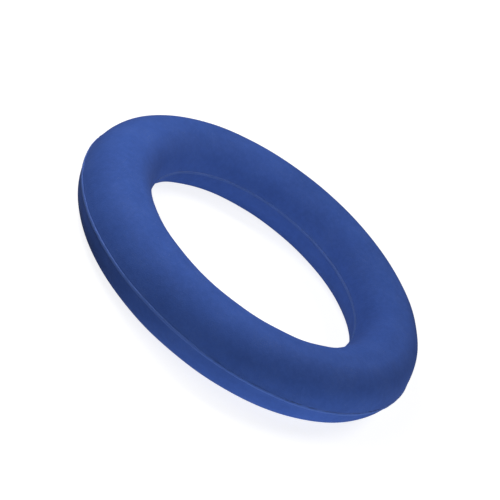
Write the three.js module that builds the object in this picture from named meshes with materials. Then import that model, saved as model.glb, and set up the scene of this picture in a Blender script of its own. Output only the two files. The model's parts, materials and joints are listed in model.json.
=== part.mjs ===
// Flying ring for lawn games: a hollow rubber ring, bonded from two moulded half shells.
// Millimetres. +Z runs along the ring's axis, and the origin is the ring's centre, on the
// parting plane between the two shells.
//
// Every piece is a lathed section. A section is drawn as (x, z) round the centre of the tube:
// x grows outwards from the tube's centre line, and z grows upwards from the parting plane.
import * as THREE from "three";

// Driving dimensions.
const OUTSIDE_DIAMETER = 177.8;
const HOLE_DIAMETER = 114.3;
const WALL_THICKNESS = 5;
const LAND_WIDTH = 6;
const RIM_DRAFT = THREE.MathUtils.degToRad(13);
const BOND_THICKNESS = 0.6;
const REBATE_DEPTH = 0.8;
const OUTER_BEAD = { width: 1.4, proud: 0.2 };
const INNER_BEAD = { width: 1.3, proud: 0.2 };

// How finely the round stretches are divided.
const TURN_STEPS = 64;
const FLANK_STEPS = 5;
const CAVITY_STEPS = 8;
const CROWN_STEPS = 4;

// Sizes that follow from the driving dimensions.
const CENTRE_LINE_RADIUS = (OUTSIDE_DIAMETER + HOLE_DIAMETER) / 4;
const TUBE_RADIUS = (OUTSIDE_DIAMETER - HOLE_DIAMETER) / 4;
const CAVITY_RADIUS = TUBE_RADIUS - WALL_THICKNESS;
const RIM_HEIGHT = BOND_THICKNESS / 2;
const RIDGE_X = TUBE_RADIUS / Math.cos(RIM_DRAFT);
const REBATE_X = RIDGE_X - REBATE_DEPTH;
const LAND_ANGLE = Math.acos(LAND_WIDTH / 2 / TUBE_RADIUS);
const CAVITY_ANGLE = Math.asin(RIM_HEIGHT / CAVITY_RADIUS);
const CAVITY_EDGE_X = CAVITY_RADIUS * Math.cos(CAVITY_ANGLE);

// The flank next to the parting plane is straight and tangent to the round tube, so the two
// shells meet in a low ridge.
function flankX(z) {
  return RIDGE_X - z * Math.tan(RIM_DRAFT);
}

function arc(radius, startAngle, endAngle, steps) {
  const points = [];
  for (let i = 0; i <= steps; i += 1) {
    const angle = THREE.MathUtils.lerp(startAngle, endAngle, i / steps);
    points.push([radius * Math.cos(angle), radius * Math.sin(angle)]);
  }
  return points;
}

// One side of a shell's section, from the cavity over the rim and the bead's rebate, up the
// flank and round to the edge of the flat land on top.
function shellSide(bead) {
  const beadTop = bead.width / 2;
  return [
    [CAVITY_EDGE_X, RIM_HEIGHT],
    [REBATE_X, RIM_HEIGHT],
    [REBATE_X, beadTop],
    [flankX(beadTop), beadTop],
    ...arc(TUBE_RADIUS, RIM_DRAFT, LAND_ANGLE, FLANK_STEPS),
  ];
}

function mirrored(side) {
  return side.map(([x, z]) => [-x, z]).reverse();
}

// The upper shell's whole section, anticlockwise: outer side, land, inner side, cavity.
function shellSection() {
  const cavity = arc(CAVITY_RADIUS, Math.PI - CAVITY_ANGLE, CAVITY_ANGLE, CAVITY_STEPS);
  return [...shellSide(OUTER_BEAD), ...mirrored(shellSide(INNER_BEAD)), ...cavity.slice(1, -1)];
}

// A seam bead's section, anticlockwise: the bond between the two rims, and the rounded head
// that fills the rebate and stands a little proud of the ridge.
function beadSection(bead) {
  const beadTop = bead.width / 2;
  const shoulder = flankX(beadTop);
  const rise = RIDGE_X + bead.proud - shoulder;
  const crown = arc(1, -Math.PI / 2, Math.PI / 2, CROWN_STEPS).slice(1, -1);
  return [
    [CAVITY_EDGE_X, -RIM_HEIGHT],
    [REBATE_X, -RIM_HEIGHT],
    [REBATE_X, -beadTop],
    [shoulder, -beadTop],
    ...crown.map(([across, along]) => [shoulder + rise * across, beadTop * along]),
    [shoulder, beadTop],
    [REBATE_X, beadTop],
    [REBATE_X, RIM_HEIGHT],
    [CAVITY_EDGE_X, RIM_HEIGHT],
  ];
}

function turned(name, section, material) {
  const profile = section.map(([x, z]) => new THREE.Vector2(CENTRE_LINE_RADIUS + x, z));
  profile.push(profile[0].clone());
  const mesh = new THREE.Mesh(new THREE.LatheGeometry(profile, TURN_STEPS), material);
  mesh.name = name;
  return mesh;
}

function upperShell() {
  const rubber = new THREE.MeshStandardMaterial({ color: 0x3f5ead, roughness: 0.75, metalness: 0 });
  return turned("upper_shell", shellSection(), rubber);
}

// The same moulding, turned over about the X axis.
function lowerShell() {
  const rubber = new THREE.MeshStandardMaterial({ color: 0x3f5ead, roughness: 0.75, metalness: 0 });
  const shell = turned("lower_shell", shellSection(), rubber);
  shell.rotation.x = Math.PI;
  return shell;
}

function outerSeamBead() {
  const cement = new THREE.MeshStandardMaterial({ color: 0x4f6bb8, roughness: 0.6, metalness: 0 });
  return turned("outer_seam_bead", beadSection(OUTER_BEAD), cement);
}

function innerSeamBead() {
  const cement = new THREE.MeshStandardMaterial({ color: 0x4f6bb8, roughness: 0.6, metalness: 0 });
  return turned("inner_seam_bead", mirrored(beadSection(INNER_BEAD)), cement);
}

// Lathes turn about their own Y axis, so one group tips them all on to +Z.
const lathed = new THREE.Group();
lathed.rotation.x = Math.PI / 2;
lathed.add(upperShell(), lowerShell(), outerSeamBead(), innerSeamBead());

const flyingRing = new THREE.Group();
flyingRing.add(lathed);

export default flyingRing;
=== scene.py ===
"""The looks of a moulded rubber flying ring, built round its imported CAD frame. Metres, +Z up.

Every CAD node is a plain faceted lathe, so each one gets a fine visual piece of the same shape:
the two moulded halves with their slight moulding waviness, and the two trimmed seam beads.
"""

import json
import math

import bpy
import numpy as np
from mathutils import Matrix, Vector


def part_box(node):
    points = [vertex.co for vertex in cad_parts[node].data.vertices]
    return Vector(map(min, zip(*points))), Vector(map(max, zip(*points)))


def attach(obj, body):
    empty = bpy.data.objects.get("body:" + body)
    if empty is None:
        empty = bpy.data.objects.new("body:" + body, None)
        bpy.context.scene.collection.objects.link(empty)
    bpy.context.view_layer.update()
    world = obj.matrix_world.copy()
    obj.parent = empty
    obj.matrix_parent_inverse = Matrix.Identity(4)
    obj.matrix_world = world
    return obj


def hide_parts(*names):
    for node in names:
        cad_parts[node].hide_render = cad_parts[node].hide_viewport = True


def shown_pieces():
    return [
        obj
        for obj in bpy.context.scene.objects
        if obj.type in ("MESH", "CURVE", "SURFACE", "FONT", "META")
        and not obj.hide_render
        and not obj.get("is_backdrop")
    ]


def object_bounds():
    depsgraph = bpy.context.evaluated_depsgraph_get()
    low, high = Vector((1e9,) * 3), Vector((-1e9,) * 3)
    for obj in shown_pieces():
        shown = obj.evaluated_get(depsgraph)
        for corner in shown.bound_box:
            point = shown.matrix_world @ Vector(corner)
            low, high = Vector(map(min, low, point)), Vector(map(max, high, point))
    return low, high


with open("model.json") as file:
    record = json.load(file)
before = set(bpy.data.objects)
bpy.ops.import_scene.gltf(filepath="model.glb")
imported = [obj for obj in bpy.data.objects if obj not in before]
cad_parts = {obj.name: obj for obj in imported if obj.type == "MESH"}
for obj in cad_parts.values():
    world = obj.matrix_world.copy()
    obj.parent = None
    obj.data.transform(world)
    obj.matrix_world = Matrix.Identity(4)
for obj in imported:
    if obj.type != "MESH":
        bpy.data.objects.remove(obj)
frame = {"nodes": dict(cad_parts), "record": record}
cad_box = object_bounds()

MM = 0.001

# The section. The draft is the slope of the flanks next to the parting plane. A lip is a half's
# edge beside the bead, and the bevel is how far its fillet cuts back at its middle point.
DRAFT = math.radians(13)
WALL = 5 * MM
REBATE_DEPTH = 0.8 * MM
LIP_FILLET = 0.07 * MM
LIP_BEVEL = LIP_FILLET * 0.3
LAND_ROUNDING = 0.24 * MM

# How finely the pieces are divided round the ring and along their sections, and the angle from
# which an edge is shaded sharp.
SHELL_TURN_STEPS = 720
BEAD_TURN_STEPS = 1440
FLANK_STEPS = 6
ARC_STEPS = 26
CAVITY_STEPS = 28
CROWN_STEPS = 12
SHARP_ANGLE = math.radians(38)

# Moulded rubber is never quite true. The waviness is a sum of seeded waves, each with a whole
# number of turns round the ring. It fades out towards the lands.
WAVE_SIZES = (0.4, 1)
SKIN_SEED = 7
SKIN_WAVE_COUNT = 28
SKIN_WAVE_TURNS = (2, 22)
SKIN_WAVES_ACROSS = 3
SKIN_WAVE_HEIGHT = 0.07 * MM
LAND_FADE = 2.4 * MM

# The beads are trimmed by hand, so their height, width and place vary, and they have nicks.
# A nick's length is an angle round the ring, and its depth a share of the bead's height. The
# bead's crown is a cosine to the power of its fullness, and under 1 is fuller than a plain one.
OUTER_TRIM_SEED = 21
INNER_TRIM_SEED = 31
TRIM_WAVE_COUNT = 40
TRIM_HEIGHT_TURNS = (3, 90)
TRIM_HEIGHT_SHARE = 0.10
TRIM_WIDTH_TURNS = (2, 40)
TRIM_WIDTH_SHARE = 0.05
TRIM_DRIFT_TURNS = (1, 12)
TRIM_DRIFT = 0.05 * MM
CROWN_FULLNESS = 0.8
NICK_COUNT = 46
NICK_LENGTHS = (0.004, 0.022)
NICK_DEPTHS = (0.15, 0.5)

# Colours, linear.
RUBBER_BLUE = (0.0508, 0.114, 0.423)
BLOOM_BLUE = (0.10, 0.17, 0.45, 1)
# The seam's paler blue is partly its own colour and partly a painted highlight on the seam line.
CEMENT_BLUE = (0.066, 0.14, 0.455)
# Painted highlight: a paler blue laid on the outer seam bead, where light catches the seam.
SEAM_HIGHLIGHT_BLUE = (0.094, 0.2, 0.67, 1)
PATCH_TINTS = (0.92, 1.08)
MOTTLE_TINT = 1.5

# Finish. A range is a lowest and a highest value, and a share is from 0 to 1. The ring is worn within a
# reach of its outside, and above a part of its half height. The same outside reach lays a painted
# highlight on the outer seam bead.
RUBBER_SPECULAR = 0.1
RUBBER_ROUGHNESS = (0.68, 0.82)
CEMENT_SPECULAR = 0.5
CEMENT_ROUGHNESS = (0.5, 0.7)
SHEEN = 0.03
SHEEN_ROUGHNESS = 0.4
GRAIN_DEPTH = 0.14 * MM
GRAIN_STRENGTH = 0.6
GRAIN_SHARE = 0.6
PIT_SHARE = 0.4
MOTTLE_SHARE = 0.2
BLOOM_SHARE = 0.4
BUFFED_SHARE = 0.12
BUFFED_REACH = (0.9 * MM, 2.4 * MM)
# How much of the painted highlight blue the outer seam bead gets.
SEAM_HIGHLIGHT_SHARE = 0.5
RUBBED_ABOVE = 0.7
WEAR_AND_HIGHLIGHT_REACH = 4 * MM

# Scuffs: short streaks in three directions, each a rotation in radians. Their noise has few cells
# per metre along a streak and many across it.
SCUFF_STRETCH = (110, 2600, 2600)
SCUFF_TURNS = ((0.2, 0.1, 0.4), (-0.1, 0.3, 1.5), (0.3, -0.2, 2.5))
SCUFF_NOISE = (0.67, 0.75)
SCUFF_SHARES = (0.2, 0.6)
SCUFF_POLISH = 0.15

# Patterns, in cells per metre, and the range of each one's values that is drawn out. Nearly all of
# a noise lies in its middle.
CLOUD_SCALE = 38
MOTTLE_SCALE = 420
GRAIN_SCALE = 1500
PIT_SCALE = 1900
BLOOM_SCALE = 75
DULL_SCALE = 160
CEMENT_SCALE = 90
DRAG_SCALE = 2600
NOISE_MIDDLE = (0.3, 0.7)
MOTTLE_NOISE = (0.4, 0.65)
BLOOM_NOISE = (0.46, 0.7)
PIT_DISTANCES = (0.1, 0.6)

# The floor: the colour that the camera sees, the colour that throws light back, the glow under the
# ring, the distances over which that rises to white, and half the floor's side.
FLOOR_SEEN = (0.4, 0.4, 0.4, 1)
FLOOR_BOUNCE = (0.25, 0.25, 0.25, 1)
FLOOR_GLOW = 0.86
FLOOR_FADE = (0.15, 0.45)
FLOOR_REACH = 4

# Round lamps: name, azimuth and elevation in degrees, distance, size and power. The fills stand for
# the light that a white sweep throws up, so they light only the ring and make no highlights.
LAMPS = (
    ("back_panel", 45, 55, 1.0, 0.5, 3.7),
    ("side_lamp", 180, 45, 0.45, 0.2, 0.76),
    ("near_lamp", 230, 45, 0.3, 0.2, 0.22),
)
UNDER_FILLS = (
    ("front_fill", 300, -20, 0.3, 0.2, 0.16),
    ("right_fill", 330, -25, 0.3, 0.2, 0.29),
    ("low_fill", 276, -32, 0.13, 0.05, 0.009),
    ("hole_fill", 0, -90, 0.1, 0.06, 0.019),
)

# The camera, in the ring's own frame.
CAMERA_ELEVATION = math.radians(27.41)
CAMERA_ROLL = math.radians(39.07)
CAMERA_DISTANCE = 0.5932
CAMERA_LENS = 94.2
CAMERA_SENSOR = 36
CAMERA_CLIP_START = 0.01
CAMERA_AIM_RIGHT = -1.9 * MM
CAMERA_AIM_UP = 4.6 * MM


# ---------------------------------------------------------------- sizes from the frame

def radii(node):
    """The smallest and largest distance of a CAD node's vertices from the ring's axis."""
    distances = [math.hypot(v.co.x, v.co.y) for v in frame["nodes"][node].data.vertices]
    return min(distances), max(distances)


def mount_radius(name):
    """How far a mount lies from the ring's axis."""
    mount = next(m for m in frame["record"]["mounts"] if m["name"] == name)
    return math.hypot(mount["pos_m"][0], mount["pos_m"][1])


CENTRE_LINE = mount_radius("bottom_rest")
HALF_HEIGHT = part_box("upper_shell")[1].z
OUTER_BEAD_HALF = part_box("outer_seam_bead")[1].z
INNER_BEAD_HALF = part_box("inner_seam_bead")[1].z
OUTER_BEAD_TOP = radii("outer_seam_bead")[1] - CENTRE_LINE
INNER_BEAD_TOP = CENTRE_LINE - radii("inner_seam_bead")[0]
RIDGE = radii("upper_shell")[1] - CENTRE_LINE + OUTER_BEAD_HALF * math.tan(DRAFT)
REBATE_X = RIDGE - REBATE_DEPTH
TUBE_RADIUS = RIDGE * math.cos(DRAFT)
CAVITY_RADIUS = TUBE_RADIUS - WALL
BOND_HALF = -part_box("lower_shell")[1].z
CAVITY_EDGE_X = math.sqrt(CAVITY_RADIUS ** 2 - BOND_HALF ** 2)
FLOOR_Z = cad_box[0].z


# ---------------------------------------------------------------- sections, as (x, z) arrays
# x grows outwards from the tube's centre line, and z upwards from the parting plane.

def flank_x(z):
    """The flank next to the parting plane: straight, and tangent to the round tube."""
    return RIDGE - z * math.tan(DRAFT)


def tube_point(angle):
    """The round tube, eased flat at the top where the ring rests."""
    x = TUBE_RADIUS * math.cos(angle)
    z = TUBE_RADIUS * math.sin(angle)
    over = z - HALF_HEIGHT
    eased = (over + math.hypot(over, LAND_ROUNDING)) / 2
    return x, z - eased


def shell_side(bead_half):
    """One side of a half's section, from the cavity over the rim and rebate, up to the top."""
    points = [(CAVITY_EDGE_X, BOND_HALF), (REBATE_X, BOND_HALF), (REBATE_X, bead_half)]
    lip = flank_x(bead_half)
    points += [(lip - LIP_FILLET, bead_half), (lip - LIP_BEVEL, bead_half + LIP_BEVEL)]
    top_of_flank = TUBE_RADIUS * math.sin(DRAFT)
    for z in np.linspace(bead_half + LIP_FILLET, top_of_flank, FLANK_STEPS, endpoint=False):
        points.append((flank_x(z), z))
    for angle in np.linspace(DRAFT, math.pi / 2, ARC_STEPS):
        points.append(tube_point(angle))
    return points


def mirrored(points):
    """The same outline on the hole's side of the tube."""
    return [(-x, z) for x, z in reversed(points)]


def shell_section():
    """The upper half's whole section, anticlockwise."""
    start = math.asin(BOND_HALF / CAVITY_RADIUS)
    angles = np.linspace(math.pi - start, start, CAVITY_STEPS)[1:-1]
    cavity = [(CAVITY_RADIUS * math.cos(a), CAVITY_RADIUS * math.sin(a)) for a in angles]
    outer = shell_side(OUTER_BEAD_HALF)
    inner = mirrored(shell_side(INNER_BEAD_HALF))
    return np.array(outer + inner[1:] + cavity)


# ---------------------------------------------------------------- waviness

def seeded_waves(seed, count, turns, steps_across):
    """Whole-number waves round the ring, each with its own phase: (round, across, phase, size)."""
    draw = np.random.default_rng(seed)
    rounds = draw.integers(turns[0], turns[1], count)
    across = draw.integers(-steps_across, steps_across + 1, count)
    phases = draw.uniform(0, 2 * math.pi, count)
    sizes = draw.uniform(*WAVE_SIZES, count) / np.sqrt(rounds)
    return rounds, across, phases, sizes / np.sqrt((sizes ** 2).sum() / 2)


def wave_sum(waves, turn, section_angle):
    """The waves' height at each turn angle round the ring and angle round its section."""
    total = np.zeros(np.broadcast(turn, section_angle).shape)
    for rounds, across, phase, size in zip(*waves):
        total += size * np.cos(rounds * turn + across * section_angle + phase)
    return total


SKIN_WAVES = seeded_waves(SKIN_SEED, SKIN_WAVE_COUNT, SKIN_WAVE_TURNS, SKIN_WAVES_ACROSS)


def skin_offset(turn, x, z):
    """How far the moulded skin stands off the true section. It fades out inside and at the lands."""
    angle = np.arctan2(z, x)
    outside = np.clip((np.hypot(x, z) - CAVITY_RADIUS) / WALL, 0, 1)
    off_the_land = np.clip((HALF_HEIGHT - np.abs(z)) / LAND_FADE, 0, 1)
    return SKIN_WAVE_HEIGHT * wave_sum(SKIN_WAVES, turn, angle) * (outside * off_the_land)


# ---------------------------------------------------------------- meshes

def link(thing):
    """Puts a new object in the scene."""
    bpy.context.scene.collection.objects.link(thing)
    return thing


def turn_angles(steps):
    """The angle of each turn step, as a column."""
    return np.linspace(0, 2 * math.pi, steps, endpoint=False)[:, None]


def ring_mesh(name, x, z):
    """A closed ring with the moulding's waviness. x and z hold a section for each turn step."""
    steps, across = x.shape
    turn = turn_angles(steps)
    offset = skin_offset(turn, x, z)
    reach = np.hypot(x, z)
    x, z = x + offset * x / reach, z + offset * z / reach
    radius = CENTRE_LINE + x
    points = np.stack([radius * np.cos(turn), radius * np.sin(turn), z], axis=-1)
    here = np.arange(steps)[:, None] * across + np.arange(across)[None, :]
    ahead = np.roll(here, -1, axis=0)
    corners = [here, ahead, np.roll(ahead, -1, axis=1), np.roll(here, -1, axis=1)]
    quads = np.stack(corners, axis=-1).reshape(-1, 4)
    mesh = bpy.data.meshes.new(name)
    mesh.from_pydata(points.reshape(-1, 3).tolist(), [], quads.tolist())
    mesh.shade_smooth()
    mesh.set_sharp_from_angle(angle=SHARP_ANGLE)
    return link(bpy.data.objects.new(name, mesh))


def moulded_half(name, side):
    """One moulded half. The lower one is the upper one's section turned over."""
    section = shell_section()
    if side < 0:
        section = section[::-1] * (1, -1)
    shape = (SHELL_TURN_STEPS, len(section))
    x = np.broadcast_to(section[:, 0], shape)
    z = np.broadcast_to(section[:, 1], shape)
    return ring_mesh(name, x, z)


def nicks_along(seed, turn):
    """How much of the bead's height the trimming nicked away at each turn angle."""
    draw = np.random.default_rng(seed)
    nicks = np.zeros_like(turn)
    for _ in range(NICK_COUNT):
        place = draw.uniform(0, 2 * math.pi)
        length = draw.uniform(*NICK_LENGTHS)
        depth = draw.uniform(*NICK_DEPTHS)
        away = np.abs((turn - place + math.pi) % (2 * math.pi) - math.pi)
        nicks = np.maximum(nicks, depth * np.clip(1 - away / length, 0, 1) ** 0.5)
    return nicks


def trim_profile(seed, turn):
    """How high and how wide the trimmed bead is left, as factors near 1, and its drift in z."""
    height = wave_sum(seeded_waves(seed, TRIM_WAVE_COUNT, TRIM_HEIGHT_TURNS, 0), turn, 0)
    width = wave_sum(seeded_waves(seed + 1, TRIM_WAVE_COUNT, TRIM_WIDTH_TURNS, 0), turn, 0)
    drift = wave_sum(seeded_waves(seed + 2, TRIM_WAVE_COUNT, TRIM_DRIFT_TURNS, 0), turn, 0)
    kept = 1 + TRIM_HEIGHT_SHARE * height - nicks_along(seed + 3, turn)
    return kept, 1 + TRIM_WIDTH_SHARE * width, TRIM_DRIFT * drift


def seam_bead(name, bead_half, bead_top, seed, side):
    """The bond between the rims, and its trimmed head in the rebate. side is -1 round the hole."""
    height, width, drift = trim_profile(seed, turn_angles(BEAD_TURN_STEPS))
    shoulder = flank_x(bead_half) - LIP_FILLET
    lead = np.array([
        (CAVITY_EDGE_X, -BOND_HALF),
        (REBATE_X, -BOND_HALF),
        (REBATE_X, -bead_half),
        (shoulder, -bead_half),
    ])
    angles = np.linspace(-math.pi / 2, math.pi / 2, CROWN_STEPS + 1)[1:-1]
    crown_x = shoulder + (bead_top - shoulder) * height * np.cos(angles) ** CROWN_FULLNESS
    crown_z = bead_half * width * np.sin(angles) + drift * np.cos(angles)
    rows = (BEAD_TURN_STEPS, len(lead))
    lead_x = np.broadcast_to(lead[:, 0], rows)
    lead_z = np.broadcast_to(lead[:, 1], rows)
    x = np.concatenate([lead_x, crown_x, lead_x[:, ::-1]], axis=1)
    z = np.concatenate([lead_z, crown_z, -lead_z[:, ::-1]], axis=1)
    if side < 0:
        x, z = -x[:, ::-1], z[:, ::-1]
    return ring_mesh(name, x, z)


# ---------------------------------------------------------------- materials

class Nodes:
    """A short way to write a material's node tree."""

    def __init__(self, name):
        self.material = bpy.data.materials.new(name)
        self.material.use_nodes = True
        self.tree = self.material.node_tree
        self.tree.nodes.clear()

    def add(self, kind, inputs=None, **settings):
        node = self.tree.nodes.new(kind)
        for key, value in settings.items():
            setattr(node, key, value)
        for key, value in (inputs or {}).items():
            self.feed(node.inputs[key], value)
        return node

    def feed(self, socket, value):
        """Links an output to a socket, or sets a plain value on it."""
        if isinstance(value, bpy.types.NodeSocket):
            self.tree.links.new(value, socket)
        else:
            socket.default_value = value

    def noise(self, coordinates, scale, detail=3.0, roughness=0.5):
        inputs = {"Vector": coordinates, "Scale": scale, "Detail": detail, "Roughness": roughness}
        return self.add("ShaderNodeTexNoise", inputs).outputs["Fac"]

    def remap(self, value, low, high, to_low, to_high):
        inputs = {"Value": value, "From Min": low, "From Max": high, "To Min": to_low, "To Max": to_high}
        return self.add("ShaderNodeMapRange", inputs).outputs["Result"]

    def maths(self, operation, *values):
        inputs = dict(enumerate(values))
        return self.add("ShaderNodeMath", inputs, operation=operation).outputs["Value"]

    def vector(self, operation, *values):
        """A vector operation's node. It has both a Vector and a Value output."""
        return self.add("ShaderNodeVectorMath", dict(enumerate(values)), operation=operation)

    def mix(self, share, a, b):
        node = self.add("ShaderNodeMix", data_type="RGBA")
        for key, value in (("Factor", share), ("A", a), ("B", b)):
            self.feed(next(s for s in node.inputs if s.name == key and s.enabled), value)
        return next(s for s in node.outputs if s.enabled)

    def place(self):
        """Where a point of the surface is, in metres in the ring's own frame."""
        return self.add("ShaderNodeTexCoord").outputs["Object"]


def tint(base, factor):
    """A colour made lighter or darker, with full opacity."""
    return tuple(min(1, c * factor) for c in base) + (1,)


def patches(nodes, place, scale, base):
    """A colour that wanders a little lighter and darker in soft patches."""
    share = nodes.remap(nodes.noise(place, scale, detail=4), *NOISE_MIDDLE, 0, 1)
    return nodes.mix(share, tint(base, PATCH_TINTS[0]), tint(base, PATCH_TINTS[1]))


def streaks(nodes, place, turned):
    """Sparse short scratches that run about one way: 0 almost everywhere, up to 1 in a scratch."""
    inputs = {"Vector": place, "Rotation": turned}
    facing = nodes.add("ShaderNodeVectorRotate", inputs, rotation_type="EULER_XYZ").outputs["Vector"]
    drawn = nodes.vector("MULTIPLY", facing, SCUFF_STRETCH).outputs["Vector"]
    return nodes.remap(nodes.noise(drawn, 1, detail=2), *SCUFF_NOISE, 0, 1)


def height_off_parting(nodes, place):
    """How far a point is above or below the parting plane."""
    return nodes.maths("ABSOLUTE", nodes.add("ShaderNodeSeparateXYZ", {"Vector": place}).outputs["Z"])


def wear_and_highlight_mask(nodes, place):
    """1 where the ring touches the ground or a hand most: on both lands and round its outside. Round the
    outside it also masks the painted highlight on the outer seam bead.
    """
    land = nodes.remap(height_off_parting(nodes, place), HALF_HEIGHT * RUBBED_ABOVE, HALF_HEIGHT, 0, 1)
    level = nodes.vector("MULTIPLY", place, (1, 1, 0)).outputs["Vector"]
    reach = nodes.vector("LENGTH", level).outputs["Value"]
    outside = CENTRE_LINE + TUBE_RADIUS
    return nodes.maths("MAXIMUM", land, nodes.remap(reach, outside - WEAR_AND_HIGHLIGHT_REACH, outside, 0, 1))


def near_seam(nodes, place):
    """1 next to the parting plane, where the flash was buffed away, and 0 a little further off."""
    return nodes.remap(height_off_parting(nodes, place), *BUFFED_REACH, 1, 0)


def scuffed(nodes, place):
    """How scuffed a point is: most where the ring touches the ground or a hand."""
    scuffs = streaks(nodes, place, SCUFF_TURNS[0])
    for turned in SCUFF_TURNS[1:]:
        scuffs = nodes.maths("MAXIMUM", scuffs, streaks(nodes, place, turned))
    return nodes.maths("MULTIPLY", scuffs, nodes.remap(wear_and_highlight_mask(nodes, place), 0, 1, *SCUFF_SHARES))


def matte(nodes, colour, roughness, specular, relief):
    """Closes a material: a dull surface with a fine relief, given as a height from 0 to 1."""
    inputs = {"Height": relief, "Strength": GRAIN_STRENGTH, "Distance": GRAIN_DEPTH}
    bump = nodes.add("ShaderNodeBump", inputs).outputs["Normal"]
    shader = nodes.add("ShaderNodeBsdfPrincipled", {
        "Base Color": colour, "Roughness": roughness, "Normal": bump, "Specular IOR Level": specular,
        "Sheen Weight": SHEEN, "Sheen Roughness": SHEEN_ROUGHNESS})
    nodes.add("ShaderNodeOutputMaterial", {"Surface": shader.outputs["BSDF"]})
    return nodes.material


def moulded_rubber():
    """Matte blue rubber: clouded, finely grained, with a pale bloom and a few faint scuffs."""
    nodes = Nodes("moulded_rubber")
    place = nodes.place()
    colour = patches(nodes, place, CLOUD_SCALE, RUBBER_BLUE)
    mottle = nodes.noise(place, MOTTLE_SCALE, detail=4, roughness=0.7)
    mottle = nodes.remap(mottle, *MOTTLE_NOISE, 0, MOTTLE_SHARE)
    colour = nodes.mix(mottle, colour, tint(RUBBER_BLUE, MOTTLE_TINT))
    grain = nodes.noise(place, GRAIN_SCALE, detail=4, roughness=0.6)
    pits = nodes.add("ShaderNodeTexVoronoi", {"Vector": place, "Scale": PIT_SCALE}).outputs["Distance"]
    bloom = nodes.remap(nodes.noise(place, BLOOM_SCALE), *BLOOM_NOISE, 0, BLOOM_SHARE)
    bloom = nodes.maths("MULTIPLY", bloom, nodes.remap(pits, *PIT_DISTANCES, 1, 0))
    colour = nodes.mix(bloom, colour, BLOOM_BLUE)
    scuffs = scuffed(nodes, place)
    colour = nodes.mix(scuffs, colour, BLOOM_BLUE)
    buffed = nodes.maths("MULTIPLY", near_seam(nodes, place), BUFFED_SHARE)
    colour = nodes.mix(buffed, colour, BLOOM_BLUE)
    roughness = nodes.remap(nodes.noise(place, DULL_SCALE), *NOISE_MIDDLE, *RUBBER_ROUGHNESS)
    roughness = nodes.maths("SUBTRACT", roughness, nodes.maths("MULTIPLY", scuffs, SCUFF_POLISH))
    raised = nodes.maths("MULTIPLY", grain, GRAIN_SHARE)
    relief = nodes.maths("ADD", raised, nodes.maths("MULTIPLY", pits, PIT_SHARE))
    return matte(nodes, colour, roughness, RUBBER_SPECULAR, relief)


def trimmed_cement():
    """The trimmed seam: a paler blue with the drag marks of the trimming, palest outside. The paler blue
    is partly the cement's own colour and partly painted highlight, and the extra paleness outside is
    painted highlight.
    """
    nodes = Nodes("trimmed_cement")
    place = nodes.place()
    # The base blue is paler partly as a painted highlight on the seam line.
    colour = patches(nodes, place, CEMENT_SCALE, CEMENT_BLUE)
    # Painted highlight: the outer seam bead is made paler, where light catches it.
    painted_highlight = nodes.maths("MULTIPLY", wear_and_highlight_mask(nodes, place), SEAM_HIGHLIGHT_SHARE)
    colour = nodes.mix(painted_highlight, colour, SEAM_HIGHLIGHT_BLUE)
    drag = nodes.noise(place, DRAG_SCALE, roughness=0.7)
    roughness = nodes.remap(drag, *NOISE_MIDDLE, *CEMENT_ROUGHNESS)
    return matte(nodes, colour, roughness, CEMENT_SPECULAR, drag)


# ---------------------------------------------------------------- the ring

def build_ring():
    """The four pieces, each in place of its CAD node."""
    rubber = moulded_rubber()
    cement = trimmed_cement()
    upper = moulded_half("moulded_upper_half", 1)
    lower = moulded_half("moulded_lower_half", -1)
    outer = seam_bead("trimmed_outer_bead", OUTER_BEAD_HALF, OUTER_BEAD_TOP, OUTER_TRIM_SEED, 1)
    inner = seam_bead("trimmed_inner_bead", INNER_BEAD_HALF, INNER_BEAD_TOP, INNER_TRIM_SEED, -1)
    pieces = (
        (upper, "upper_shell", "shell_rubber", rubber),
        (lower, "lower_shell", "shell_rubber", rubber),
        (outer, "outer_seam_bead", "seam_cement", cement),
        (inner, "inner_seam_bead", "seam_cement", cement),
    )
    for piece, node, slot, material in pieces:
        piece.data.materials.append(material)
        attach(piece, "root")
        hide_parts(node)


# ---------------------------------------------------------------- studio

def pale_floor():
    """Near white from above, with little light thrown back up, and clear to a camera below it,
    so that the ring's underside can be seen."""
    nodes = Nodes("pale_floor")
    seen = nodes.add("ShaderNodeLightPath").outputs["Is Camera Ray"]
    diffuse = nodes.add("ShaderNodeBsdfDiffuse", {"Color": nodes.mix(seen, FLOOR_BOUNCE, FLOOR_SEEN)})
    distance = nodes.vector("LENGTH", nodes.place()).outputs["Value"]
    strength = nodes.maths("MULTIPLY", seen, nodes.remap(distance, *FLOOR_FADE, FLOOR_GLOW, 1))
    glow = nodes.add("ShaderNodeEmission", {"Strength": strength})
    both = nodes.add("ShaderNodeAddShader", {0: diffuse.outputs["BSDF"], 1: glow.outputs["Emission"]})
    clear = nodes.add("ShaderNodeBsdfTransparent")
    under = nodes.maths("MULTIPLY", seen, nodes.add("ShaderNodeNewGeometry").outputs["Backfacing"])
    inputs = {0: under, 1: both.outputs["Shader"], 2: clear.outputs["BSDF"]}
    surface = nodes.add("ShaderNodeMixShader", inputs)
    nodes.add("ShaderNodeOutputMaterial", {"Surface": surface.outputs["Shader"]})
    return nodes.material


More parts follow.
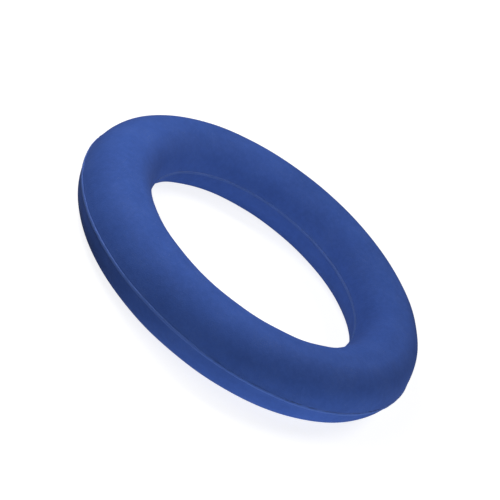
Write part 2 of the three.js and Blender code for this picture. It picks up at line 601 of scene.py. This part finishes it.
def build_floor():
    """A square floor under the ring."""
    mesh = bpy.data.meshes.new("floor")
    signs = ((-1, -1), (1, -1), (1, 1), (-1, 1))
    corners = [(x * FLOOR_REACH, y * FLOOR_REACH, FLOOR_Z) for x, y in signs]
    mesh.from_pydata(corners, [], [(0, 1, 2, 3)])
    mesh.materials.append(pale_floor())
    link(bpy.data.objects.new("floor", mesh))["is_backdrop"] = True


def build_world():
    """White to the camera, and dark to everything else, so that only the lamps light the ring."""
    world = bpy.data.worlds.new("studio")
    world.use_nodes = True
    tree = world.node_tree
    seen = tree.nodes.new("ShaderNodeLightPath").outputs["Is Camera Ray"]
    tree.links.new(seen, tree.nodes["Background"].inputs["Strength"])
    tree.nodes["Background"].inputs["Color"].default_value = (1, 1, 1, 1)
    bpy.context.scene.world = world


def build_lamp(name, azimuth, elevation, distance, size, watts):
    """A round soft lamp aimed at the ring. Azimuth is counted from +X towards +Y, in degrees."""
    around, above = math.radians(azimuth), math.radians(elevation)
    level = math.cos(above)
    away = Vector((math.cos(around) * level, math.sin(around) * level, math.sin(above)))
    light = bpy.data.lights.new(name, "AREA")
    light.shape = "DISK"
    light.size = size
    light.energy = watts
    lamp = bpy.data.objects.new(name, light)
    lamp.location = away * distance
    lamp.rotation_euler = away.to_track_quat("Z", "Y").to_euler()
    lamp.visible_camera = False
    return link(lamp)


def build_lamps():
    """The lamps light everything, and the fills only the ring. The fills' sampling setting keeps
    light that is otherwise lost to the floor above them."""
    for lamp in LAMPS:
        build_lamp(*lamp)
    ring_only = bpy.data.collections.new("ring_only")
    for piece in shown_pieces():
        ring_only.objects.link(piece)
    for fill in UNDER_FILLS:
        lamp = build_lamp(*fill)
        lamp.light_linking.receiver_collection = ring_only
        lamp.light_linking.blocker_collection = ring_only
        lamp.data.cycles.use_multiple_importance_sampling = False
        lamp.visible_glossy = False


def build_camera():
    """The camera looks down on the ring from its -Y side, and is rolled about its own view."""
    back = Vector((0, -math.cos(CAMERA_ELEVATION), math.sin(CAMERA_ELEVATION)))
    level_right = Vector((1, 0, 0))
    level_up = back.cross(level_right)
    right = level_right * math.cos(CAMERA_ROLL) + level_up * math.sin(CAMERA_ROLL)
    up = back.cross(right)
    camera = link(bpy.data.objects.new("camera", bpy.data.cameras.new("camera")))
    camera.data.sensor_width = CAMERA_SENSOR
    camera.data.lens = CAMERA_LENS
    camera.data.clip_start = CAMERA_CLIP_START
    spin = Matrix((right, up, back)).transposed().to_4x4()
    place = right * CAMERA_AIM_RIGHT + up * CAMERA_AIM_UP + back * CAMERA_DISTANCE
    camera.matrix_world = Matrix.Translation(place) @ spin
    bpy.context.scene.camera = camera


build_ring()
build_floor()
build_world()
build_lamps()
build_camera()
bpy.context.scene.view_settings.view_transform = "Standard"
